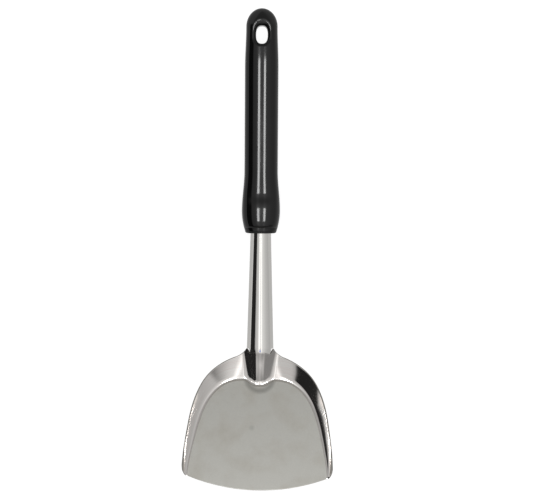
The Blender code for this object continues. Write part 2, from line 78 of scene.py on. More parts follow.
# Hood: the ridge pressed into the back wall over the end of the shank
HOOD_RUN = 18.0 * MM
HOOD_ANGLE = math.radians(21.0)
HOOD_BULGE = 0.9 * MM
HOOD_HALF_WIDTH = 9.6 * MM
HOOD_DEPTH = 7.9 * MM
NOSE_HALF_WIDTH = 6.2 * MM
NOSE_DEPTH = 4.0 * MM
NOSE_BLEND = 1.3 * MM
FLANK_BLEND = 2.2 * MM
HOOD_FOOT_LIMIT_SHARE = 0.58
HOOD_ZONE = 18.0 * MM
NOSE_DIP = 4.6 * MM
NOSE_DIP_WIDTH = 8.2 * MM
NOSE_DIP_SQUARENESS = 4
NOTCH_X = 7.6 * MM
TIP_X = 10.2 * MM
TIP_RISE = 3.4 * MM
TIP_FALL_BEND = 2.6

# Shank
TUBE_WALL = 0.9 * MM
TUBE_RADIUS = 7.6 * MM
SHANK_LENGTH = 88.8 * MM
SHANK_IN_HANDLE = 70.0 * MM
NECK_HALF_WIDTH = 10.0 * MM
NECK_FRONT_DEPTH = 8.3 * MM
NECK_BACK_DEPTH = 3.6 * MM
SPIGOT_STEP = 1.7 * MM
SPIGOT_LENGTH = 11.5 * MM
SPIGOT_END_HALF_WIDTH = 6.3 * MM
SPIGOT_END_LOWERING = 1.6 * MM
SEAM_WIDTH = 2.4 * MM
SEAM_PROUD = 0.02 * MM
SEAM_CROWN = 0.05 * MM
SEAM_OVERLAP = 0.7 * MM
SEAM_REACH_SHARE = 0.76
SEAM_DEPTH = 0.6 * MM

# Handle
HANDLE_LENGTH = 166.2 * MM
GRIP_HALF_WIDTH = 12.4 * MM
SHOULDER_HALF_WIDTH = 11.6 * MM
FLARE_HALF_WIDTH = 14.2 * MM
MOUTH_HALF_WIDTH = 11.7 * MM
HANDLE_THICKNESS_SHARE = 0.88
HANDLE_SQUARENESS = 2.5
END_SQUARENESS = 2.05
END_LENGTH = 24.0 * MM
DOME_LENGTH = 13.5 * MM
SHOULDER_LENGTH = 30.0 * MM
FLARE_LENGTH = 30.0 * MM
FLARE_SETBACK = 16.5 * MM
FLARE_BACK_SHARE = 0.83
FLARE_FRONT_RISE = 1.0 * MM
FLARE_FRONT_RUN = 15.5 * MM
FLARE_FRONT_FLAT = 8.5 * MM
FLARE_FRONT_SINK = 0.25 * MM
MOUTH_ROUND = 1.2 * MM
MOUTH_LAND = 0.9 * MM
MOUTH_LAND_SETBACK = 4.2 * MM
MOUTH_LAND_RISE = 0.7 * MM
BORE_RADIUS = 7.75 * MM
BORE_CHAMFER = 0.4 * MM
BORE_RING = 10.0 * MM
BORE_SPARE = 0.5 * MM
LEVEL_LIMIT = 0.05
HOLE_WIDTH = 8.6 * MM
HOLE_LENGTH = 13.3 * MM
HOLE_SETBACK = 13.0 * MM
HOLE_LIP = 3.3 * MM
HOLE_LIP_ABOVE = 7.0 * MM
HOLE_LIP_BELOW = 2.0 * MM
HOLE_LIP_DEPTH = 4.2 * MM
HOLE_SQUARENESS = 2.6
HOLE_LIP_START = 0.12
HOLE_LIP_ROWS = 12
CUTTER_FLARE = ((1.25, -0.9), (1.14, -0.06))

RING_POINTS = 112
TUBE_RINGS = 40
DOME_RINGS = 26
BODY_RINGS = 96
LAND_RINGS = 20
MOUTH_RINGS = 8
SHARP_ANGLE = 40.0
HANDLE_SHARP_ANGLE = 34.0

# Finishes: sizes of their marks. Buffing lines, mould grain and shear lines are really
# about 0.1 mm, too fine to show, and are drawn as coarse as given here
BUFFING_PLACE = "buffing_place"
BUFFING_WIDTH = 0.45 * MM
BUFFING_LENGTH = 45.0 * MM
PRESSING_WAVE = 9.0 * MM
SMEAR = 14.0 * MM
BLAST_GRAIN = 0.5 * MM
HANDLING_PATCH = 16.0 * MM
SCUFF_SPACING = 21.0 * MM
# Painted shade: width of the brownish dark band along the heel
HEEL_SHADE_WIDTH = 1.5 * MM
# Painted shade: a dark band on the plate round the hood's nose, its middle, radius and width
NOSE_HALO_PLACE = Vector((0.3, 3.1, 0.0)) * MM
NOSE_HALO_RADIUS = 9.8 * MM
NOSE_HALO_WIDTH = 3.6 * MM
DULL_SPOT_PLACE = Vector((-4.8, -35.2, 0.0)) * MM
DULL_SPOT_RADIUS = 3.2 * MM
MOULD_GRAIN = 0.7 * MM
MOULD_FLOW = 22.0 * MM
TINT_WIDTH = 1.0 * MM
TINT_LENGTH = 4.2 * MM
WELD_RIPPLE = 0.8 * MM
SHEAR_LINE = 0.3 * MM

# Studio: brightness over angles in degrees, sideways from the left to the right
TENT_RADIUS = 3.0
TENT_PEAK = 2.0
TENT_FRONT = ((-90, 0.8), (-85, 0.7), (-81, 0.02), (-44, 0.012), (-38, 0.3), (-24, 0.3),
              (-12, 0.34), (0, 0.42), (12, 0.34), (25, 0.27), (90, 0.25))
TENT_TOP = ((-90, 0.7), (-85, 0.68), (-81, 0.02), (-41, 0.014), (-38, 0.4), (-32, 0.52),
            (-22, 0.56), (-15, 0.64), (-11, 1.0), (-7, 1.5), (-2, 0.9), (3, 0.85), (8, 1.25),
            (13, 1.0), (18, 0.74), (25, 0.68), (35, 0.62), (50, 0.52), (80, 0.44), (90, 0.44))
TENT_MIDDLE = ((-90, 0.02), (-43, 0.014), (-40, 0.44), (-34, 0.54), (-14, 0.56), (-10, 0.7),
               (-6, 1.2), (-2, 0.9), (2, 0.75), (6, 0.95), (9, 1.35), (13, 1.1), (18, 0.74),
               (26, 0.68), (34, 0.6), (44, 0.42), (52, 0.24), (90, 0.22))
TENT_BACK = ((-90, 0.6), (-46, 0.6), (-32, 0.36), (0, 0.34), (30, 0.36), (60, 0.5), (90, 0.6))
TENT_ZONES = ((-53, -47, TENT_MIDDLE), (-36, -28, TENT_TOP), (12, 22, TENT_BACK))
TABLE_LEVEL = 0.5
FLOOR_SIZE = 6.0
FLOOR_GLOW = 0.8
WORLD_LIGHT = 0.7
STRIPS = (("strip_left", (-0.128, 0.03, 1.2), 0.13, 0.27),
          ("strip_right", (0.195, 0.03, 1.2), 0.15, 0.27))
STRIP_RADIANCE = 13.0
CAMERA_PLACE = Vector((5.85, -0.52, 1205.0)) * MM
CAMERA_ROLL = math.radians(0.35)
VIEW_WIDTH = 399.75 * MM
VIEW_DISTANCE = 1200.0 * MM


def colour(code):
    """Linear colour of an sRGB hex code."""
    parts = [int(code[i:i + 2], 16) / 255.0 for i in (1, 3, 5)]
    linear = [c / 12.92 if c <= 0.04045 else ((c + 0.055) / 1.055) ** 2.4 for c in parts]
    return (*linear, 1.0)


def add_node(tree, kind, settings=None, inputs=None):
    """One node with its settings, and its sockets set or linked."""
    node = tree.nodes.new(kind)
    for name, value in (settings or {}).items():
        setattr(node, name, value)
    for name, value in (inputs or {}).items():
        if isinstance(value, bpy.types.NodeSocket):
            tree.links.new(value, node.inputs[name])
        else:
            node.inputs[name].default_value = value
    return node


def new_material(name, sockets):
    material = bpy.data.materials.new(name)
    material.use_nodes = True
    shader = material.node_tree.nodes["Principled BSDF"]
    for socket, value in sockets.items():
        shader.inputs[socket].default_value = value
    return material, material.node_tree, shader


def spline(places, values):
    """Natural cubic spline through values at places, as a function of the place."""
    places, values = np.array(places, float), np.array(values, float)
    count, step = len(places), np.diff(places)
    matrix, right = np.eye(count), np.zeros_like(values)
    for i in range(1, count - 1):
        matrix[i, i - 1:i + 2] = (step[i - 1], 2.0 * (step[i - 1] + step[i]), step[i])
        right[i] = 6.0 * ((values[i + 1] - values[i]) / step[i]
                          - (values[i] - values[i - 1]) / step[i - 1])
    bend = np.linalg.solve(matrix, right)

    def value_at(place):
        i = int(min(max(np.searchsorted(places, place) - 1, 0), count - 2))
        h = step[i]
        a, b = (places[i + 1] - place) / h, (place - places[i]) / h
        return (a * values[i] + b * values[i + 1]
                + ((a ** 3 - a) * bend[i] + (b ** 3 - b) * bend[i + 1]) * h * h / 6.0)

    return value_at


def mirrored(points):
    """The points with their mirror images in x put before them."""
    return [(-x, y) for x, y in points[:0:-1]] + list(points)


def run_along(first, second):
    """Mean distance along two lines of points, from their middle points."""
    run = [0.0]
    for a, b, c, d in zip(first, first[1:], second, second[1:]):
        run.append(run[-1] + 0.5 * (math.dist(a, b) + math.dist(c, d)) * MM)
    return [place - run[len(run) // 2] for place in run]


RUN = run_along(mirrored(HEEL_POINTS), mirrored(RIM_POINTS))
LAST = RUN[-1]
heel_at = spline(RUN, [(x * MM, y * MM) for x, y in mirrored(HEEL_POINTS)])
rim_at = spline(RUN, [(x * MM, y * MM) for x, y in mirrored(RIM_POINTS)])
wall_height_at = spline(RUN, [z * MM for z in WALL_HEIGHTS[:0:-1] + WALL_HEIGHTS])


def ease(share):
    share = min(max(share, 0.0), 1.0)
    return share * share * (3.0 - 2.0 * share)


def front_edge(x):
    return FRONT_RADIUS - math.sqrt(FRONT_RADIUS ** 2 - x * x) - PLATE_LENGTH


def wall_rise(run, span, height):
    """Height of the wall at a run from the heel: a round fillet, then slightly bowed up."""
    radius = min(WALL_FILLET, WALL_FILLET_LIMIT_SHARE * span)
    drop = height - WALL_BOW - radius
    slope = math.atan2(drop, span) + math.asin(radius / math.hypot(span, drop))
    foot = radius * math.sin(slope)
    straight = run - foot
    if run <= 0.0:
        return 0.0
    if straight < 0.0:
        return radius - math.sqrt(radius ** 2 - run ** 2)
    bow = WALL_BOW * (straight / (span - foot)) ** 2
    return radius * (1.0 - math.cos(slope)) + straight * math.tan(slope) + bow


def smooth_max(first, second, blend):
    overlap = max(blend - abs(first - second), 0.0)
    return max(first, second) + overlap * overlap / (4.0 * blend)


def hood_section(y):
    """Half width and depth of the hood's oval, which narrows from the neck to the nose."""
    down = min(max(1.0 - y / HOOD_RUN, 0.0), 1.0)
    return (HOOD_HALF_WIDTH + (NOSE_HALF_WIDTH - HOOD_HALF_WIDTH) * down,
            HOOD_DEPTH + (NOSE_DEPTH - HOOD_DEPTH) * down)


def hood_height(x, y):
    """Height of the hood's oval ridge above the plate."""
    half_width, depth = hood_section(y)
    limit = HOOD_FOOT_LIMIT_SHARE
    share = min(abs(x) / half_width, limit)
    root = math.sqrt(1.0 - share * share)
    beyond = max(abs(x) - limit * half_width, 0.0)
    drop = depth * (1.0 - root) + depth / half_width * share / root * beyond
    steepness = BLADE_ANGLE + HOOD_ANGLE
    share = min(max(y / HOOD_RUN, 0.0), 1.0)
    bulge = HOOD_BULGE * (1.0 - ease(share))
    return y * math.tan(steepness) + bulge - drop * math.cos(HOOD_ANGLE) / math.cos(steepness)


def foot_blend(x, y):
    """Size of the fillet at the hood's foot: tight at the nose, wider along the flanks."""
    return NOSE_BLEND + (FLANK_BLEND - NOSE_BLEND) * min(abs(x) / hood_section(y)[0], 1.0) ** 2


def sheet_top(x, rim_y):
    """Edge of the sheet by the hood: a notch across the shank between two tips."""
    if x <= NOTCH_X:
        return HOOD_RUN
    tip_y = HOOD_RUN + TIP_RISE
    if x <= TIP_X:
        return HOOD_RUN + TIP_RISE * ease((x - NOTCH_X) / (TIP_X - NOTCH_X))
    fall = max(1.0 - (x - TIP_X) / (HOOD_ZONE - TIP_X), 0.0)
    return rim_y + (tip_y - rim_y) * fall ** TIP_FALL_BEND


def blade_point(across, up):
    """A point of half the blade: up is -1 on the front edge, 0 at the heel, 1 at the rim."""
    place = across * LAST
    heel, rim = heel_at(place), rim_at(place)
    span = rim - heel
    dip = NOSE_DIP * math.exp(-(heel[0] / NOSE_DIP_WIDTH) ** NOSE_DIP_SQUARENESS)
    low = -dip / span[1] if heel[0] < 2.0 * HOOD_ZONE else 0.0
    if up < 0.0:
        x, y = heel + span * low
        y += (front_edge(x) - y) * -up
        return Vector((x, y, smooth_max(0.0, hood_height(x, y), foot_blend(x, y))))
    high = 1.0
    if rim[0] < HOOD_ZONE:
        high = (sheet_top(rim[0], rim[1]) - heel[1]) / span[1]
    share = low + (high - low) * up
    x, y = heel + span * share
    bow = CORNER_SETBACK * (max(share, 0.0) ** CORNER_BEND - max(share, 0.0))
    y += bow * ease((across - CORNER_START_SHARE) / (1.0 - CORNER_START_SHARE))
    length = math.hypot(span[0], span[1])
    wall = wall_rise(share * length, length, float(wall_height_at(place)))
    return Vector((x, y, smooth_max(wall, hood_height(x, y), foot_blend(x, y))))


def blade_to_shank():
    neck = Vector((0.0, HOOD_RUN, hood_height(0.0, HOOD_RUN)))
    turn = Matrix.Rotation(BLADE_SKEW, 4, "Z") @ Matrix.Rotation(-BLADE_ANGLE, 4, "X")
    return (Matrix.Translation((0.0, 0.0, NECK_FRONT_DEPTH)) @ turn
            @ Matrix.Translation(-neck))


def shank_to_world():
    return Matrix.Translation(TOOL_PLACE) @ Matrix.Rotation(TILT, 4, "X")


def make_piece(name, shape, materials, node):
    """An object of a finished bmesh, which rides with its solid and stands for it."""
    shape.transform(shank_to_world())
    mesh = bpy.data.meshes.new(name)
    shape.to_mesh(mesh)
    shape.free()
    for material in materials:
        mesh.materials.append(material)
    mesh.shade_smooth()
    piece = bpy.data.objects.new(name, mesh)
    bpy.context.scene.collection.objects.link(piece)
    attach(piece, "root")
    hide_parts(node)
    return piece


def bake(piece, sharp_angle):
    """Apply a piece's modifiers and keep edges over an angle sharp."""
    bpy.context.view_layer.update()
    depsgraph = bpy.context.evaluated_depsgraph_get()
    mesh = bpy.data.meshes.new_from_object(piece.evaluated_get(depsgraph))
    piece.modifiers.clear()
    piece.data = mesh
    mesh.shade_smooth()
    mesh.set_sharp_from_angle(angle=math.radians(sharp_angle))


def oval(turn, squareness):
    """A point of an oval of half width 1: round at a squareness of 2, flatter above it."""
    cos, sin = math.cos(turn), math.sin(turn)
    reach = (abs(cos) ** squareness + abs(sin) ** squareness) ** (-1.0 / squareness)
    return reach * cos, reach * sin


def loft(rings):
    """Skin rings of (along, half width, front, back, level, aside, squareness)."""
    shape = bmesh.new()
    turn = shape.verts.layers.float.new("turn")
    bmesh.ops.create_circle(shape, segments=RING_POINTS, radius=1.0)
    for vert in shape.verts:
        vert[turn] = math.atan2(vert.co.y, vert.co.x)
    verts, edges = list(shape.verts), list(shape.edges)
    for number, (along, half_width, front, back, level, aside, square) in enumerate(rings):
        if number:
            grown = bmesh.ops.extrude_edge_only(shape, edges=edges)["geom"]
            verts = [item for item in grown if isinstance(item, bmesh.types.BMVert)]
            edges = [item for item in grown if isinstance(item, bmesh.types.BMEdge)
                     and len(item.link_faces) == 1]
        for vert in verts:
            cos, sin = oval(vert[turn], square)
            depth = front if sin > 0.0 else back
            vert.co = (aside + half_width * cos, along, level + depth * sin)
    bmesh.ops.remove_doubles(shape, verts=shape.verts, dist=0.001 * MM)
    bmesh.ops.recalc_face_normals(shape, faces=shape.faces)
    return shape


# Blade

def column_place(share):
    """Share of the run at a column: the columns are denser by the hood."""
    if share < DENSE_SHARE:
        return share * DENSE_SHARE
    return DENSE_SHARE ** 2 + (share - DENSE_SHARE) * (1.0 + DENSE_SHARE)


def make_blade(wall_steel, plate_steel, edge_steel):
    rows = PLATE_ROWS + WALL_ROWS
    shape = bmesh.new()
    bmesh.ops.create_grid(shape, x_segments=SHEET_COLUMNS, y_segments=rows, size=1.0)
    thickness = shape.verts.layers.deform.new()
    buffing = shape.verts.layers.float_vector.new(BUFFING_PLACE)
    heel_row = {}
    for vert in shape.verts:
        across = column_place(0.5 * (vert.co.x + 1.0))
        step = round(0.5 * (vert.co.y + 1.0) * rows)
        up = step / PLATE_ROWS - 1.0 if step < PLATE_ROWS else (step - PLATE_ROWS) / WALL_ROWS
        if step == 1:
            up = EDGE_ROW_SHARE - 1.0
        vert.co = blade_point(across, up)
        rise = math.copysign((vert.co - blade_point(across, 0.0)).length, up)
        vert[buffing] = (across * LAST, rise, 0.0)
        heel_row[vert] = step
        edge = min(vert.co.y - front_edge(vert.co.x) if abs(vert.co.x) < FRONT_RADIUS else 1.0,
                   (1.0 - across) * LAST if up >= 0.0 else 1.0)
        vert[thickness][0] = ease(edge / EDGE_TAPER)
    for face in shape.faces:
        steps = [heel_row[vert] for vert in face.verts]
        face.material_index = 1 if max(steps) <= PLATE_ROWS else 0
    bmesh.ops.remove_doubles(shape, verts=shape.verts, dist=0.01 * MM)
    half = shape.verts[:] + shape.edges[:] + shape.faces[:]
    bmesh.ops.mirror(shape, geom=half, merge_dist=0.01 * MM, axis="X")
    for vert in shape.verts:
        if vert.co.x < 0.0:
            vert[buffing].x *= -1.0
    bmesh.ops.recalc_face_normals(shape, faces=shape.faces)
    if sum(face.normal.z * face.calc_area() for face in shape.faces) < 0.0:
        bmesh.ops.reverse_faces(shape, faces=shape.faces)
    shape.transform(blade_to_shank())
    finishes = [wall_steel, plate_steel, edge_steel]
    piece = make_piece("blade_sheet", shape, finishes, "blade")
    full = piece.vertex_groups.new(name="full_thickness")
    sheet = piece.modifiers.new("sheet", "SOLIDIFY")
    sheet.thickness = SHEET
    sheet.offset = -1.0
    sheet.use_even_offset = True
    sheet.material_offset_rim = 2
    sheet.vertex_group = full.name
    sheet.thickness_vertex_group = EDGE_SHARE
    rounding = piece.modifiers.new("rim", "BEVEL")
    rounding.width = RIM_ROUND
    rounding.segments = 2
    rounding.limit_method = "ANGLE"
    rounding.angle_limit = math.radians(60.0)
    bake(piece, SHARP_ANGLE)


# Shank

def shank_section(along):
    share = min(max(along / SHANK_LENGTH, 0.0), 1.0)
    return (NECK_HALF_WIDTH + (TUBE_RADIUS - NECK_HALF_WIDTH) * share,
            NECK_FRONT_DEPTH + (TUBE_RADIUS - NECK_FRONT_DEPTH) * share,
            NECK_BACK_DEPTH + (TUBE_RADIUS - NECK_BACK_DEPTH) * share)


def spigot_section(share):
    half_width, front, back = shank_section(0.0)
    start = half_width - SPIGOT_STEP
    lowering = SPIGOT_END_LOWERING * share
    fall = SPIGOT_LENGTH * share * math.tan(HOOD_ANGLE)
    return (start + (SPIGOT_END_HALF_WIDTH - start) * share,
            front - SPIGOT_STEP - SHEET * (1.0 / math.cos(HOOD_ANGLE) - 1.0) - fall + lowering,
            back - lowering, -lowering)


def tube_rings(step_place, wall):
    """Rings down one skin of the tube, to the end that slides under the hood."""
    top = SHANK_LENGTH + SHANK_IN_HANDLE
    places = [top] + [SHANK_LENGTH + (step_place - SHANK_LENGTH) * i / TUBE_RINGS
                      for i in range(TUBE_RINGS + 1)]
    rings = [(place, *(size - wall for size in shank_section(place)), 0.0, 0.0, 2.0)
             for place in places]
    for share in (-1.0, 0.0, 0.25, 0.5, 0.75, 1.0):
        along = step_place if share < 0.0 else -SPIGOT_LENGTH * share
        half_width, front, back, level = spigot_section(max(share, 0.0))
        aside = -min(along, 0.0) * math.tan(BLADE_SKEW)
        rings.append((along, half_width - wall, front - wall, back - wall, level, aside, 2.0))
    return rings


def make_shank(steel):
    rings = tube_rings(SEAM_WIDTH, 0.0) + tube_rings(SEAM_WIDTH + TUBE_WALL, TUBE_WALL)[::-1]
    shape = loft(rings)
    ends = [edge for edge in shape.edges if len(edge.link_faces) == 1]
    bmesh.ops.bridge_loops(shape, edges=ends)
    bmesh.ops.recalc_face_normals(shape, faces=shape.faces)
    piece = make_piece("shank", shape, [steel], "shank_tube")
    bake(piece, SHARP_ANGLE)


def make_neck_weld(steel):
    """Weld ground flush across the neck, from the sheet's notch onto the tube."""
    shape = bmesh.new()
    bmesh.ops.create_grid(shape, x_segments=40, y_segments=12, size=1.0)
    into_shank = blade_to_shank()
    for vert in shape.verts:
        angle = vert.co.x * math.asin(SEAM_REACH_SHARE)
        share = 0.5 * (vert.co.y + 1.0)
        half_width, front, _ = shank_section(SEAM_WIDTH + SEAM_OVERLAP)
        upper = Vector((half_width * math.sin(angle), SEAM_WIDTH + SEAM_OVERLAP,
                        front * math.cos(angle)))
        x = half_width * math.sin(angle)
        y = HOOD_RUN - SEAM_OVERLAP
        lower = into_shank @ Vector((x, y, hood_height(x, y)))
        vert.co = lower.lerp(upper, share)
        vert.co.z += SEAM_PROUD + SEAM_CROWN * math.sin(math.pi * share)
    bmesh.ops.solidify(shape, geom=shape.faces[:], thickness=SEAM_DEPTH)
    bmesh.ops.recalc_face_normals(shape, faces=shape.faces)
    piece = make_piece("neck_seam", shape, [steel], "neck_weld")
    bake(piece, SHARP_ANGLE)


# Handle

def handle_half_width(down):
    """Half width of the handle at a distance from its hanging end."""
    widest = HANDLE_LENGTH - FLARE_SETBACK
    if down < DOME_LENGTH:
        return SHOULDER_HALF_WIDTH * math.sqrt(max(1.0 - (1.0 - down / DOME_LENGTH) ** 2, 0.0))
    if down < widest - FLARE_LENGTH:
        share = (down - DOME_LENGTH) / SHOULDER_LENGTH
        return SHOULDER_HALF_WIDTH + (GRIP_HALF_WIDTH - SHOULDER_HALF_WIDTH) * ease(share)
    if down < widest:
        share = 1.0 - (widest - down) / FLARE_LENGTH
        return GRIP_HALF_WIDTH + (FLARE_HALF_WIDTH - GRIP_HALF_WIDTH) * ease(share)
    share = (down - widest) / (FLARE_SETBACK - MOUTH_ROUND)
    return FLARE_HALF_WIDTH - (FLARE_HALF_WIDTH - MOUTH_HALF_WIDTH) * share * share


def handle_front(down):
    """Front depth of the handle, whose flare is a flat-topped collar."""
    grip = GRIP_HALF_WIDTH * HANDLE_THICKNESS_SHARE
    collar = FLARE_HALF_WIDTH * HANDLE_THICKNESS_SHARE + FLARE_FRONT_RISE
    mouth = MOUTH_HALF_WIDTH * HANDLE_THICKNESS_SHARE
    start = HANDLE_LENGTH - FLARE_SETBACK - FLARE_FRONT_RUN
    end = HANDLE_LENGTH - FLARE_SETBACK + FLARE_FRONT_FLAT
    if down < start:
        return min(handle_half_width(down), GRIP_HALF_WIDTH) * HANDLE_THICKNESS_SHARE
    if down < end:
        sink = FLARE_FRONT_SINK * min((end - down) / FLARE_FRONT_FLAT, 1.0)
        return grip + (collar - sink - grip) * ease((down - start) / FLARE_FRONT_RUN)
    land = mouth + MOUTH_LAND_RISE
    land_start = HANDLE_LENGTH - MOUTH_LAND_SETBACK
    land_end = land_start + MOUTH_LAND
    if down < land_end:
        share = min((down - end) / (land_start - end), 1.0)
        return land + (collar - land) * math.sqrt(1.0 - share * share)
    share = min((down - land_end) / (HANDLE_LENGTH - MOUTH_ROUND - land_end), 1.0)
    return mouth + (land - mouth) * math.sqrt(1.0 - share * share)


def squareness_at(down):
    """Squareness of the handle's section: rounder towards the hanging end."""
    return END_SQUARENESS + (HANDLE_SQUARENESS - END_SQUARENESS) * ease(down / END_LENGTH)


def handle_level(across, squareness):
    """Height of the handle's skin over its middle plane, as a share of its thickness."""
    return max(1.0 - abs(across) ** squareness, LEVEL_LIMIT) ** (1.0 / squareness)


def handle_rings():
    far = SHANK_LENGTH + HANDLE_LENGTH
    last = HANDLE_LENGTH - MOUTH_ROUND
    body = last - MOUTH_LAND_SETBACK
    downs = [DOME_LENGTH * (1.0 - math.cos(0.5 * math.pi * i / DOME_RINGS))
             for i in range(DOME_RINGS + 1)]
    downs += [DOME_LENGTH + (body - DOME_LENGTH) * i / BODY_RINGS
              for i in range(1, BODY_RINGS + 1)]
    downs += [body + (last - body) * i / LAND_RINGS for i in range(1, LAND_RINGS + 1)]
    rings = []
    for down in downs:
        half = handle_half_width(down)
        flare = max(half - GRIP_HALF_WIDTH, 0.0)
        thick = (half - (1.0 - FLARE_BACK_SHARE) * flare) * HANDLE_THICKNESS_SHARE
        rings.append((far - down, half, handle_front(down), thick, 0.0, 0.0,
                      squareness_at(down)))
    for i in range(1, MOUTH_RINGS + 1):
        angle = 0.5 * math.pi * i / MOUTH_RINGS
        half = MOUTH_HALF_WIDTH - MOUTH_ROUND * (1.0 - math.cos(angle))
        thick = MOUTH_HALF_WIDTH * HANDLE_THICKNESS_SHARE - MOUTH_ROUND * (1.0 - math.cos(angle))
        along = far - last - MOUTH_ROUND * math.sin(angle)
        rings.append((along, half, thick, thick, 0.0, 0.0, HANDLE_SQUARENESS))
    mouth = SHANK_LENGTH
    bottom = mouth + SHANK_IN_HANDLE + BORE_SPARE
    for along, radius in ((mouth, BORE_RADIUS + BORE_CHAMFER),
                          (mouth + BORE_CHAMFER, BORE_RADIUS),
                          (mouth + BORE_RING, BORE_RADIUS),
                          (bottom, BORE_RADIUS), (bottom, 0.0)):
        rings.append((along, radius, radius, radius, 0.0, 0.0, 2.0))
    return rings


def make_hole_cutter():
    """The hanging hole, with lips rounded over onto the front and back of the grip."""
    far = SHANK_LENGTH + HANDLE_LENGTH
    middle = far - HOLE_SETBACK - 0.5 * HOLE_LENGTH
    shape = bmesh.new()
    turn = shape.verts.layers.float.new("turn")
    bmesh.ops.create_circle(shape, segments=RING_POINTS, radius=1.0)
    for vert in shape.verts:
        vert[turn] = math.atan2(vert.co.y, vert.co.x)
    verts, edges = list(shape.verts), list(shape.edges)
    side_rows = list(CUTTER_FLARE)
    for i in range(HOLE_LIP_ROWS):
        share = HOLE_LIP_START + (1.0 - HOLE_LIP_START) * i / (HOLE_LIP_ROWS - 1)
        angle = 0.5 * math.pi * share
        side_rows.append((1.0 - math.sin(angle), 1.0 - math.cos(angle)))
    rows = [(out, drop, 1.0) for out, drop in side_rows]
    rows += [(out, drop, -1.0) for out, drop in side_rows[::-1]]
    for number, (out, drop, side) in enumerate(rows):
        if number:
            grown = bmesh.ops.extrude_edge_only(shape, edges=edges)["geom"]
            verts = [item for item in grown if isinstance(item, bmesh.types.BMVert)]
            edges = [item for item in grown if isinstance(item, bmesh.types.BMEdge)
                     and len(item.link_faces) == 1]
        for vert in verts:
            cos, sin = oval(vert[turn], HOLE_SQUARENESS)
            x = (0.5 * HOLE_WIDTH + HOLE_LIP * out) * cos
            reach = HOLE_LIP_ABOVE if sin > 0.0 else HOLE_LIP_BELOW
            y = middle + (0.5 * HOLE_LENGTH + reach * out) * sin
            down = min(max(far - y, 2.0 * MM), HANDLE_LENGTH)
            half = handle_half_width(down)
            level = half * HANDLE_THICKNESS_SHARE * handle_level(x / half, squareness_at(down))
            vert.co = (x, y, side * (level - HOLE_LIP_DEPTH * drop))
    bmesh.ops.holes_fill(shape, edges=shape.edges[:], sides=0)
    bmesh.ops.recalc_face_normals(shape, faces=shape.faces)
    shape.transform(shank_to_world())
    mesh = bpy.data.meshes.new("hole_cutter")
    shape.to_mesh(mesh)
    shape.free()
    cutter = bpy.data.objects.new("hole_cutter", mesh)
    bpy.context.scene.collection.objects.link(cutter)
    return cutter


def make_handle(resin):
    shape = loft(handle_rings())
    piece = make_piece("grip", shape, [resin], "handle")
    cutter = make_hole_cutter()
    hole = piece.modifiers.new("hanging_hole", "BOOLEAN")
    hole.operation = "DIFFERENCE"
    hole.solver = "EXACT"
    hole.object = cutter
    bake(piece, HANDLE_SHARP_ANGLE)
    bpy.data.objects.remove(cutter, do_unlink=True)


# Finishes

def polished_sheet():
    """Stainless sheet, pressed and buffed to a mirror: long buffing lines run with the wall,
    and the pressing leaves the reflections slightly wavy."""
    material, tree, shader = new_material("polished_stainless_sheet", {"Metallic": 1.0})
    place = add_node(tree, "ShaderNodeAttribute", {"attribute_name": BUFFING_PLACE})
    stretched = add_node(tree, "ShaderNodeMapping", None, {
        "Vector": place.outputs["Vector"], "Scale": (1.0 / BUFFING_LENGTH, 1.0 / BUFFING_WIDTH, 1.0)})
    lines = add_node(tree, "ShaderNodeTexNoise", None, {
        "Vector": stretched.outputs[0], "Scale": 1.0, "Detail": 2.0})
    waves = add_node(tree, "ShaderNodeTexNoise", None, {
        "Vector": place.outputs["Vector"], "Scale": 1.0 / PRESSING_WAVE, "Detail": 0.0})
    warmth = add_node(tree, "ShaderNodeMapRange", None, {
        "Value": lines.outputs["Fac"], "From Min": 0.4, "From Max": 0.65})
    tone = add_node(tree, "ShaderNodeMix", {"data_type": "RGBA"}, {
        "Factor": warmth.outputs[0], 6: colour("#F4F2EE"), 7: colour("#F0E8E4")})
    haze = add_node(tree, "ShaderNodeMapRange", None, {
        "Value": lines.outputs["Fac"], "From Min": 0.3, "From Max": 0.7, "To Min": 0.075,
        "To Max": 0.11})
    wavy = add_node(tree, "ShaderNodeBump", None, {
        "Height": waves.outputs["Fac"], "Strength": 1.0, "Distance": 0.04 * MM})
    buffed = add_node(tree, "ShaderNodeBump", None, {
        "Height": lines.outputs["Fac"], "Strength": 1.0, "Distance": 0.0025 * MM,
        "Normal": wavy.outputs[0]})
    tree.links.new(tone.outputs[2], shader.inputs["Base Color"])
    tree.links.new(haze.outputs[0], shader.inputs["Roughness"])
    tree.links.new(buffed.outputs[0], shader.inputs["Normal"])
    return material


def neck_distance(tree):
    """Distance from the middle of the neck's front, 1 where the heat tint ends."""
    middle = shank_to_world() @ Vector((0.0, 0.0, NECK_FRONT_DEPTH))
    place = add_node(tree, "ShaderNodeTexCoord")
    scale = (1.0 / TINT_WIDTH, 1.0 / TINT_LENGTH, 1.0 / TINT_LENGTH)
    moved = add_node(tree, "ShaderNodeMapping", None, {
        "Vector": place.outputs["Object"], "Scale": scale,
        "Location": tuple(-c * s for c, s in zip(middle, scale))})
    return add_node(tree, "ShaderNodeVectorMath", {"operation": "LENGTH"}, {
        0: moved.outputs[0]}).outputs["Value"]


def heat_tint(tree, plain):
    """Oxide colours that welding leaves on stainless steel: blue inside, straw outside."""
    ramp = add_node(tree, "ShaderNodeValToRGB", None, {"Fac": neck_distance(tree)})
    elements = ramp.color_ramp.elements
    elements[0].color = colour("#6C7FB0")
    elements[1].color = colour(plain)
    for stop, code in ((0.35, "#93A3CB"), (0.6, "#C9C6D6"), (0.8, "#EEE6D6")):
        elements.new(stop).color = colour(code)
    return ramp.outputs[0]


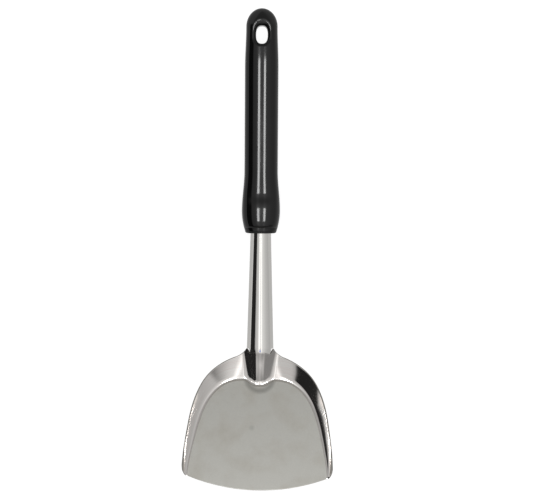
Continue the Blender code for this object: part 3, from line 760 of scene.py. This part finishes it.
def polished_tube():
    """Stainless tube, drawn and buffed: fine lines run down it, with hand smears between."""
    material, tree, shader = new_material("polished_stainless_tube", {"Metallic": 1.0})
    place = add_node(tree, "ShaderNodeTexCoord")
    stretched = add_node(tree, "ShaderNodeMapping", None, {
        "Vector": place.outputs["Object"],
        "Scale": (1.0 / BUFFING_WIDTH, 1.0 / BUFFING_LENGTH, 1.0 / BUFFING_WIDTH)})
    lines = add_node(tree, "ShaderNodeTexNoise", None, {
        "Vector": stretched.outputs[0], "Scale": 1.0, "Detail": 2.0})
    smears = add_node(tree, "ShaderNodeTexNoise", None, {
        "Vector": place.outputs["Object"], "Scale": 1.0 / SMEAR, "Detail": 3.0})
    haze = add_node(tree, "ShaderNodeMapRange", None, {
        "Value": smears.outputs["Fac"], "From Min": 0.35, "From Max": 0.7, "To Min": 0.065,
        "To Max": 0.1})
    buffed = add_node(tree, "ShaderNodeBump", None, {
        "Height": lines.outputs["Fac"], "Strength": 1.0, "Distance": 0.003 * MM})
    tree.links.new(heat_tint(tree, "#F3F1ED"), shader.inputs["Base Color"])
    tree.links.new(haze.outputs[0], shader.inputs["Roughness"])
    tree.links.new(buffed.outputs[0], shader.inputs["Normal"])
    return material


def plate_distance(tree, place, middle):
    """Distance of a place from a point of the plate, given along the blade."""
    point = shank_to_world() @ blade_to_shank() @ middle
    return add_node(tree, "ShaderNodeVectorMath", {"operation": "DISTANCE"},
                    {0: place, 1: point}).outputs["Value"]


def satin_steel():
    """Stainless sheet, bead blasted: an even grey satin with a fine grain, faint patches
    from handling and a few light scuffs. Painted shade: a brownish dark band along the heel,
    where the wall rises from the plate, and a dark band round the hood's nose. One small
    dull spot lies below the nose.
    The real grain is about 0.1 mm, too fine to show, and is drawn at 0.5 mm."""
    material, tree, shader = new_material("bead_blasted_stainless_steel", {"Metallic": 1.0})
    place = add_node(tree, "ShaderNodeTexCoord")
    grain = add_node(tree, "ShaderNodeTexNoise", None, {
        "Vector": place.outputs["Object"], "Scale": 1.0 / BLAST_GRAIN, "Detail": 2.0})
    patches = add_node(tree, "ShaderNodeTexNoise", None, {
        "Vector": place.outputs["Object"], "Scale": 1.0 / HANDLING_PATCH, "Detail": 3.0})
    worn = add_node(tree, "ShaderNodeMapRange", None, {
        "Value": patches.outputs["Fac"], "From Min": 0.45, "From Max": 0.75})
    tone = add_node(tree, "ShaderNodeMix", {"data_type": "RGBA"}, {
        "Factor": worn.outputs[0], 6: colour("#C1C0BA"), 7: colour("#BAB7AF")})
    scuffs = add_node(tree, "ShaderNodeTexVoronoi", {"feature": "F1"}, {
        "Vector": place.outputs["Object"], "Scale": 1.0 / SCUFF_SPACING})
    scuffed = add_node(tree, "ShaderNodeMapRange", None, {
        "Value": scuffs.outputs["Distance"], "From Min": 0.03, "From Max": 0.06, "To Min": 0.6,
        "To Max": 0.0})
    marked = add_node(tree, "ShaderNodeMix", {"data_type": "RGBA"}, {
        "Factor": scuffed.outputs[0], 6: tone.outputs[2], 7: colour("#DAD9D5")})
    speckle = add_node(tree, "ShaderNodeMapRange", None, {
        "Value": grain.outputs["Fac"], "From Min": 0.25, "From Max": 0.75, "To Min": 0.93,
        "To Max": 1.05})
    # Painted shade: the colour is darkened in a band round the hood's nose
    halo_distance = add_node(tree, "ShaderNodeMath", {"operation": "SUBTRACT"}, {
        0: plate_distance(tree, place.outputs["Object"], NOSE_HALO_PLACE), 1: NOSE_HALO_RADIUS})
    halo_distance = add_node(tree, "ShaderNodeMath", {"operation": "ABSOLUTE"}, {0: halo_distance.outputs[0]})
    nose_halo = add_node(tree, "ShaderNodeMapRange", {"interpolation_type": "SMOOTHSTEP"}, {
        "Value": halo_distance.outputs[0], "From Max": NOSE_HALO_WIDTH, "To Min": 0.66})
    spot = add_node(tree, "ShaderNodeMapRange", {"interpolation_type": "SMOOTHSTEP"}, {
        "Value": plate_distance(tree, place.outputs["Object"], DULL_SPOT_PLACE),
        "From Max": DULL_SPOT_RADIUS, "To Min": 0.82})
    halo_and_spot = add_node(tree, "ShaderNodeMath", {"operation": "MULTIPLY"}, {
        0: nose_halo.outputs[0], 1: spot.outputs[0]})
    level = add_node(tree, "ShaderNodeMath", {"operation": "MULTIPLY"}, {
        0: halo_and_spot.outputs[0], 1: speckle.outputs[0]})
    grained = add_node(tree, "ShaderNodeVectorMath", {"operation": "SCALE"}, {
        0: marked.outputs[2], "Scale": level.outputs[0]})
    rise = add_node(tree, "ShaderNodeAttribute", {"attribute_name": BUFFING_PLACE})
    rise = add_node(tree, "ShaderNodeSeparateXYZ", None, {0: rise.outputs["Vector"]})
    # Painted shade: a brownish dark band on the plate along the heel, where the wall rises
    heel_shade = add_node(tree, "ShaderNodeMapRange", {"interpolation_type": "SMOOTHSTEP"}, {
        "Value": rise.outputs["Y"], "From Min": -HEEL_SHADE_WIDTH, "From Max": 0.0, "To Max": 0.75})
    heel_shaded = add_node(tree, "ShaderNodeMix", {"data_type": "RGBA"}, {
        "Factor": heel_shade.outputs[0], 6: grained.outputs[0], 7: colour("#867F75")})
    sheen = add_node(tree, "ShaderNodeMapRange", None, {
        "Value": patches.outputs["Fac"], "From Min": 0.3, "From Max": 0.7, "To Min": 0.46,
        "To Max": 0.53})
    blasted = add_node(tree, "ShaderNodeBump", None, {
        "Height": grain.outputs["Fac"], "Strength": 1.0, "Distance": 0.01 * MM})
    tree.links.new(heel_shaded.outputs[2], shader.inputs["Base Color"])
    tree.links.new(sheen.outputs[0], shader.inputs["Roughness"])
    tree.links.new(blasted.outputs[0], shader.inputs["Normal"])
    return material


def sheared_edge():
    """Cut edge of the sheet, deburred: duller than its faces and lined by the shears; its colour is
    darker than the faces as painted shade.
    """
    material, tree, shader = new_material("sheared_edge_with_painted_shade", {"Metallic": 1.0})
    place = add_node(tree, "ShaderNodeTexCoord")
    lines = add_node(tree, "ShaderNodeTexNoise", None, {
        "Vector": place.outputs["Object"], "Scale": 1.0 / SHEAR_LINE, "Detail": 1.0})
    # Painted shade: the edge's colour is darkened to dim what it reflects; its roughness is the real
    # duller cut
    tone = add_node(tree, "ShaderNodeMix", {"data_type": "RGBA"}, {
        "Factor": lines.outputs["Fac"], 6: colour("#8F8C86"), 7: colour("#B4B1AB")})
    dull = add_node(tree, "ShaderNodeMapRange", None, {
        "Value": lines.outputs["Fac"], "To Min": 0.22, "To Max": 0.36})
    rough = add_node(tree, "ShaderNodeBump", None, {
        "Height": lines.outputs["Fac"], "Strength": 1.0, "Distance": 0.01 * MM})
    tree.links.new(tone.outputs[2], shader.inputs["Base Color"])
    tree.links.new(dull.outputs[0], shader.inputs["Roughness"])
    tree.links.new(rough.outputs[0], shader.inputs["Normal"])
    return material


def black_phenolic():
    """Phenolic resin, compression moulded: black and glossy, with a trace of grain and
    faint cloudy flow marks where the gloss is a little lower."""
    material, tree, shader = new_material("black_phenolic_resin", {"IOR": 1.47})
    place = add_node(tree, "ShaderNodeTexCoord")
    grain = add_node(tree, "ShaderNodeTexNoise", None, {
        "Vector": place.outputs["Object"], "Scale": 1.0 / MOULD_GRAIN, "Detail": 1.0})
    flow = add_node(tree, "ShaderNodeTexNoise", None, {
        "Vector": place.outputs["Object"], "Scale": 1.0 / MOULD_FLOW, "Detail": 3.0,
        "Distortion": 0.6})
    tone = add_node(tree, "ShaderNodeMix", {"data_type": "RGBA"}, {
        "Factor": flow.outputs["Fac"], 6: colour("#060606"), 7: colour("#0D0D0D")})
    gloss = add_node(tree, "ShaderNodeMapRange", None, {
        "Value": flow.outputs["Fac"], "From Min": 0.3, "From Max": 0.7, "To Min": 0.07,
        "To Max": 0.12})
    moulded = add_node(tree, "ShaderNodeBump", None, {
        "Height": grain.outputs["Fac"], "Strength": 1.0, "Distance": 0.0005 * MM})
    tree.links.new(tone.outputs[2], shader.inputs["Base Color"])
    tree.links.new(gloss.outputs[0], shader.inputs["Roughness"])
    tree.links.new(moulded.outputs[0], shader.inputs["Normal"])
    return material


def weld_metal():
    """Stainless weld, ground flush and buffed: fine ripples and the blue of its heat."""
    material, tree, shader = new_material("ground_weld_steel", {"Metallic": 1.0})
    place = add_node(tree, "ShaderNodeTexCoord")
    ripple = add_node(tree, "ShaderNodeTexNoise", None, {
        "Vector": place.outputs["Object"], "Scale": 1.0 / WELD_RIPPLE, "Detail": 2.0})
    haze = add_node(tree, "ShaderNodeMapRange", None, {
        "Value": ripple.outputs["Fac"], "To Min": 0.08, "To Max": 0.16})
    uneven = add_node(tree, "ShaderNodeBump", None, {
        "Height": ripple.outputs["Fac"], "Strength": 1.0, "Distance": 0.006 * MM})
    tree.links.new(heat_tint(tree, "#F0EEEA"), shader.inputs["Base Color"])
    tree.links.new(haze.outputs[0], shader.inputs["Roughness"])
    tree.links.new(uneven.outputs[0], shader.inputs["Normal"])
    return material


def grey_rubber():
    """Moulded rubber: dull dark grey with a fine matt grain."""
    material, tree, shader = new_material("moulded_rubber", {})
    place = add_node(tree, "ShaderNodeTexCoord")
    grain = add_node(tree, "ShaderNodeTexNoise", None, {
        "Vector": place.outputs["Object"], "Scale": 1.0 / MOULD_GRAIN, "Detail": 2.0})
    tone = add_node(tree, "ShaderNodeMix", {"data_type": "RGBA"}, {
        "Factor": grain.outputs["Fac"], 6: colour("#52524F"), 7: colour("#62625F")})
    dull = add_node(tree, "ShaderNodeMapRange", None, {
        "Value": grain.outputs["Fac"], "To Min": 0.62, "To Max": 0.78})
    pebbled = add_node(tree, "ShaderNodeBump", None, {
        "Height": grain.outputs["Fac"], "Strength": 1.0, "Distance": 0.03 * MM})
    tree.links.new(tone.outputs[2], shader.inputs["Base Color"])
    tree.links.new(dull.outputs[0], shader.inputs["Roughness"])
    tree.links.new(pebbled.outputs[0], shader.inputs["Normal"])
    return material


# Studio

def stage_piece(name, shape, material):
    """A studio piece that only reflections see."""
    mesh = bpy.data.meshes.new(name)
    shape.to_mesh(mesh)
    shape.free()
    mesh.materials.append(material)
    piece = bpy.data.objects.new(name, mesh)
    bpy.context.scene.collection.objects.link(piece)
    piece.visible_camera = False
    piece.visible_diffuse = False
    piece.visible_shadow = False


def angle_ramp(tree, angle, stops):
    """Brightness over an angle, from stops of (degrees, brightness)."""
    share = add_node(tree, "ShaderNodeMapRange", None,
                     {"Value": angle, "From Min": -0.5 * math.pi, "From Max": 0.5 * math.pi})
    ramp = add_node(tree, "ShaderNodeValToRGB", None, {"Fac": share.outputs[0]})
    elements = ramp.color_ramp.elements
    for number, (degrees, level) in enumerate(stops):
        share = level / TENT_PEAK
        if number in (0, len(stops) - 1):
            element = elements[0 if number == 0 else -1]
        else:
            element = elements.new((degrees + 90.0) / 180.0)
        element.color = (share, share, share, 1.0)
    return ramp.outputs[0]


def add_tent():
    """A domed light tent, seen only in reflections: white overhead, a black flag on the left."""
    shape = bmesh.new()
    bmesh.ops.create_uvsphere(shape, u_segments=64, v_segments=32, radius=TENT_RADIUS)
    material = bpy.data.materials.new("tent_cloth")
    material.use_nodes = True
    tree = material.node_tree
    tree.nodes.clear()
    place = add_node(tree, "ShaderNodeTexCoord")
    axes = add_node(tree, "ShaderNodeSeparateXYZ", None, {0: place.outputs["Object"]})
    across = add_node(tree, "ShaderNodeMath", {"operation": "ARCTAN2"},
                      {0: axes.outputs["X"], 1: axes.outputs["Z"]}).outputs[0]
    light = angle_ramp(tree, across, TENT_FRONT)
    for first, last, stops in TENT_ZONES:
        share = add_node(tree, "ShaderNodeMapRange", {"interpolation_type": "SMOOTHSTEP"},
                         {"Value": axes.outputs["Y"],
                          "From Min": TENT_RADIUS * math.sin(math.radians(first)),
                          "From Max": TENT_RADIUS * math.sin(math.radians(last))})
        mix = add_node(tree, "ShaderNodeMix", {"data_type": "RGBA"},
                       {"Factor": share.outputs[0], 6: light, 7: angle_ramp(tree, across, stops)})
        light = mix.outputs[2]
    glow = add_node(tree, "ShaderNodeEmission", None, {"Color": light, "Strength": TENT_PEAK})
    out = add_node(tree, "ShaderNodeOutputMaterial")
    tree.links.new(glow.outputs[0], out.inputs["Surface"])
    stage_piece("light_tent", shape, material)


def add_table_card():
    """The table as reflections see it: grey in the tent's shade."""
    shape = bmesh.new()
    bmesh.ops.create_grid(shape, x_segments=1, y_segments=1, size=0.95 * TENT_RADIUS)
    bmesh.ops.translate(shape, verts=shape.verts, vec=(0.0, 0.0, 0.1 * MM))
    material = bpy.data.materials.new("shaded_table")
    material.use_nodes = True
    tree = material.node_tree
    tree.nodes.clear()
    glow = add_node(tree, "ShaderNodeEmission", None,
                    {"Color": colour("#FFFFFF"), "Strength": TABLE_LEVEL})
    out = add_node(tree, "ShaderNodeOutputMaterial")
    tree.links.new(glow.outputs[0], out.inputs["Surface"])
    stage_piece("table_shade", shape, material)


def add_floor():
    shape = bmesh.new()
    bmesh.ops.create_grid(shape, x_segments=1, y_segments=1, size=FLOOR_SIZE)
    mesh = bpy.data.meshes.new("table")
    shape.to_mesh(mesh)
    shape.free()
    floor = bpy.data.objects.new("table", mesh)
    bpy.context.scene.collection.objects.link(floor)
    material = bpy.data.materials.new("white_table")
    material.use_nodes = True
    tree = material.node_tree
    tree.nodes.clear()
    path = add_node(tree, "ShaderNodeLightPath")
    seen = add_node(tree, "ShaderNodeMath", {"operation": "MAXIMUM"},
                    {0: path.outputs["Is Camera Ray"], 1: path.outputs["Is Glossy Ray"]})
    seen = add_node(tree, "ShaderNodeMath", {"operation": "MAXIMUM", "use_clamp": True},
                    {0: seen.outputs[0], 1: path.outputs["Is Transmission Ray"]})
    level = add_node(tree, "ShaderNodeMath", {"operation": "MULTIPLY"},
                     {0: seen.outputs[0], 1: FLOOR_GLOW})
    matt = add_node(tree, "ShaderNodeBsdfDiffuse", None, {"Color": colour("#A4A4A4")})
    glow = add_node(tree, "ShaderNodeEmission", None,
                    {"Color": colour("#FFFFFF"), "Strength": level.outputs[0]})
    both = add_node(tree, "ShaderNodeAddShader", None, {0: matt.outputs[0], 1: glow.outputs[0]})
    out = add_node(tree, "ShaderNodeOutputMaterial")
    tree.links.new(both.outputs[0], out.inputs["Surface"])
    mesh.materials.append(material)


def set_world():
    world = bpy.data.worlds.new("white_studio")
    bpy.context.scene.world = world
    world.use_nodes = True
    tree = world.node_tree
    tree.nodes.clear()
    path = add_node(tree, "ShaderNodeLightPath")
    seen = add_node(tree, "ShaderNodeMath", {"operation": "MAXIMUM"},
                    {0: path.outputs["Is Camera Ray"], 1: path.outputs["Is Glossy Ray"]})
    seen = add_node(tree, "ShaderNodeMath", {"operation": "MAXIMUM", "use_clamp": True},
                    {0: seen.outputs[0], 1: path.outputs["Is Transmission Ray"]})
    level = add_node(tree, "ShaderNodeMapRange", None,
                     {"Value": seen.outputs[0], "To Min": WORLD_LIGHT, "To Max": 1.0})
    sky = add_node(tree, "ShaderNodeBackground", None,
                   {"Color": colour("#FFFFFF"), "Strength": level.outputs[0]})
    out = add_node(tree, "ShaderNodeOutputWorld")
    tree.links.new(sky.outputs[0], out.inputs["Surface"])


def add_strip(name, place, width, length):
    """A strip lamp facing straight down; its watts are worked out from its brightness."""
    lamp = bpy.data.lights.new(name, "AREA")
    lamp.shape = "RECTANGLE"
    lamp.size = width
    lamp.size_y = length
    lamp.energy = STRIP_RADIANCE * math.pi * width * length
    item = bpy.data.objects.new(name, lamp)
    item.location = place
    bpy.context.scene.collection.objects.link(item)


def set_camera():
    camera = bpy.data.cameras.new("camera")
    camera.sensor_width = 36.0
    camera.lens = camera.sensor_width * VIEW_DISTANCE / VIEW_WIDTH
    camera.clip_start = 0.01
    item = bpy.data.objects.new("camera", camera)
    item.location = CAMERA_PLACE
    item.rotation_euler = (0.0, 0.0, CAMERA_ROLL)
    bpy.context.scene.collection.objects.link(item)
    bpy.context.scene.camera = item


def set_studio():
    set_world()
    add_floor()
    set_camera()
    add_tent()
    add_table_card()
    for strip in STRIPS:
        add_strip(*strip)


tube_steel = polished_tube()
seam_steel = weld_metal()
make_blade(polished_sheet(), satin_steel(), sheared_edge())
make_shank(tube_steel)
make_neck_weld(seam_steel)
make_handle(black_phenolic())
for node, finish in (("shank_end_cap", tube_steel), ("back_weld_left", seam_steel),
                     ("back_weld_right", seam_steel), ("tube_plug", grey_rubber())):
    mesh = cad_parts[node].data
    mesh.materials.clear()
    mesh.materials.append(finish)
set_studio()

bpy.context.scene.view_settings.view_transform = "Standard"
